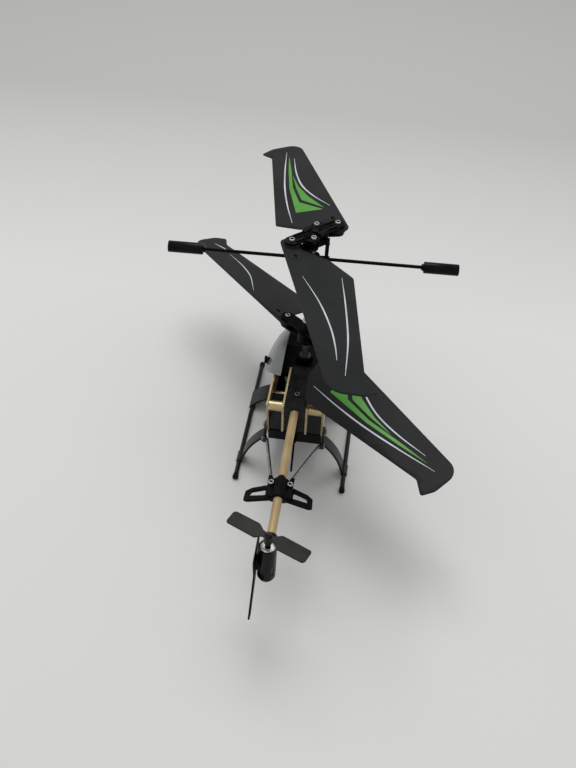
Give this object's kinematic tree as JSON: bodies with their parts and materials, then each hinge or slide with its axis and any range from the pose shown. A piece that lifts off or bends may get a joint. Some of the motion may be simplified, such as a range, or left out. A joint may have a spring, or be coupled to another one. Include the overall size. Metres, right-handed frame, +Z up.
{
  "type": "coaxial toy helicopter",
  "caption": "Radio-controlled coaxial toy helicopter: metal side plates, contra-rotating rotors with folding blades, weighted flybar, tail boom with upward tail rotor, skid landing gear.",
  "frame": {"origin": "on the floor the skids stand on, under the middle of the whole model; the rotor mast stands 25.2 mm ahead of it (-Y)", "axes": "+Z up along the rotor mast, +Y towards the tail, -Y towards the nose, +X to the machine's left side"},
  "size_m": [0.1794, 0.3, 0.1481],
  "materials": {
    "anodised_plate": "satin",
    "spacer_gold": "polished",
    "boom_gold": "satin",
    "black_plastic": "matte",
    "black_gloss": "gloss",
    "blade_green": "satin",
    "blade_black": "satin",
    "tail_blade": "satin",
    "canopy_grey": "gloss",
    "steel": "polished",
    "screw_steel": "polished",
    "black_metal": "satin",
    "motor_can": "satin",
    "gear_white": "satin",
    "collar_pale": "satin",
    "bush_brass": "satin",
    "rubber_black": "matte",
    "battery_wrap": "satin",
    "board_green": "satin"
  },
  "bodies": {
    "airframe": {"antenna": "black_plastic", "battery": "battery_wrap", "boom_holder": "black_gloss", "canopy_grommets": "rubber_black", "canopy_left": "canopy_grey", "canopy_posts": "steel", "canopy_right": "canopy_grey", "electronics_case": "black_gloss", "frame_screws": "screw_steel", "frame_spacers": "spacer_gold", "front_leg_left": "black_plastic", "front_leg_right": "black_plastic", "front_motor": "motor_can", "inner_frame_left": "anodised_plate", "inner_frame_right": "anodised_plate", "left_skid": "black_metal", "left_strut": "steel", "lower_deck": "black_plastic", "lower_housing": "black_plastic", "outer_frame_left": "anodised_plate", "outer_frame_right": "anodised_plate", "rear_leg_left": "black_plastic", "rear_leg_right": "black_plastic", "rear_motor": "motor_can", "receiver_board": "board_green", "right_skid": "black_metal", "right_strut": "steel", "shaft_bearings": "bush_brass", "skid_caps": "rubber_black", "stabiliser": "black_plastic", "stabiliser_clamp": "black_plastic", "tail_boom": "boom_gold", "tail_fin": "black_plastic", "tail_motor": "motor_can", "tail_motor_holder": "black_gloss", "upper_deck": "black_plastic"},
    "upper_rotor": {"inner_shaft": "steel", "pivot_pins": "steel", "lower_main_gear": "gear_white"},
    "flybar": {"flybar": "black_plastic", "flybar_weight_left": "black_metal", "flybar_weight_right": "black_metal"},
    "link": {"flybar_link": "black_plastic"},
    "upper_head": {"upper_hub": "black_plastic", "upper_hub_plate": "black_plastic", "upper_head_bolts": "screw_steel"},
    "upper_blade_a": {"upper_blade_a": "blade_green"},
    "upper_blade_b": {"upper_blade_b": "blade_black"},
    "lower_rotor": {"outer_shaft": "steel", "upper_main_gear": "gear_white", "shaft_collar": "collar_pale", "lower_hub": "black_plastic", "lower_hub_plate": "black_plastic", "lower_blade_bolts": "screw_steel"},
    "lower_blade_a": {"lower_blade_a": "blade_black"},
    "lower_blade_b": {"lower_blade_b": "blade_green"},
    "front_pinion": {"front_pinion": "bush_brass"},
    "rear_pinion": {"rear_pinion": "bush_brass"},
    "tail_rotor": {"tail_rotor": "tail_blade"},
    "switch_slider": {"power_switch": "black_gloss"}
  },
  "joints": [
    {"name": "upper_rotor_spin", "type": "hinge", "parent": "airframe", "child": "upper_rotor", "pos_m": [0, -0.02795, 0.06], "axis": [0, 0, 1], "continuous": true},
    {"name": "lower_rotor_spin", "type": "hinge", "parent": "airframe", "child": "lower_rotor", "pos_m": [0, -0.02795, 0.06], "axis": [0, 0, 1], "continuous": true},
    {"name": "front_pinion_spin", "type": "hinge", "parent": "airframe", "child": "front_pinion", "pos_m": [0, -0.04095, 0.035], "axis": [0, 0, 1], "continuous": true},
    {"name": "rear_pinion_spin", "type": "hinge", "parent": "airframe", "child": "rear_pinion", "pos_m": [0, -0.01495, 0.035], "axis": [0, 0, 1], "continuous": true},
    {"name": "tail_rotor_spin", "type": "hinge", "parent": "airframe", "child": "tail_rotor", "pos_m": [0, 0.13205, 0.06], "axis": [0, 0, 1], "continuous": true},
    {"name": "flybar_teeter", "type": "hinge", "parent": "upper_rotor", "child": "flybar", "pos_m": [0, -0.02795, 0.1291], "axis": [-0.0593, 0.9982, 0], "range_deg": [-6, 6]},
    {"name": "link_swing", "type": "hinge", "parent": "flybar", "child": "link", "pos_m": [-0.00768, -0.0252, 0.1291], "axis": [-0.0593, 0.9982, 0], "range_deg": [-6, 6]},
    {"name": "head_tilt", "type": "hinge", "parent": "upper_rotor", "child": "upper_head", "pos_m": [0, -0.02795, 0.1436], "axis": [0.7034, 0.7108, 0], "range_deg": [-6.6, 6.6]},
    {"name": "power_switch_slide", "type": "slide", "parent": "airframe", "child": "switch_slider", "axis": [0, 1, 0], "range_m": [-0.0015, 0.0015]},
    {"name": "upper_blade_a_fold", "type": "hinge", "parent": "upper_head", "child": "upper_blade_a", "pos_m": [-0.01175, -0.03982, 0.1436], "axis": [0, 0, 1], "range_deg": [-80, 5]},
    {"name": "lower_blade_a_fold", "type": "hinge", "parent": "lower_rotor", "child": "lower_blade_a", "pos_m": [0.0135, -0.03908, 0.0745], "axis": [0, 0, 1], "range_deg": [-55, 28]},
    {"name": "upper_blade_b_fold", "type": "hinge", "parent": "upper_head", "child": "upper_blade_b", "pos_m": [0.01175, -0.01608, 0.1436], "axis": [0, 0, 1], "range_deg": [-80, 5]},
    {"name": "lower_blade_b_fold", "type": "hinge", "parent": "lower_rotor", "child": "lower_blade_b", "pos_m": [-0.0135, -0.01682, 0.0745], "axis": [0, 0, 1], "range_deg": [-55, 28]}
  ],
  "couplings": [
    {"joint": "front_pinion_spin", "follows": "upper_rotor_spin", "ratio": -6.2222},
    {"joint": "rear_pinion_spin", "follows": "lower_rotor_spin", "ratio": -6.2222},
    {"joint": "head_tilt", "follows": "flybar_teeter", "ratio": 1.0148},
    {"joint": "link_swing", "follows": "flybar_teeter", "ratio": -1}
  ]
}
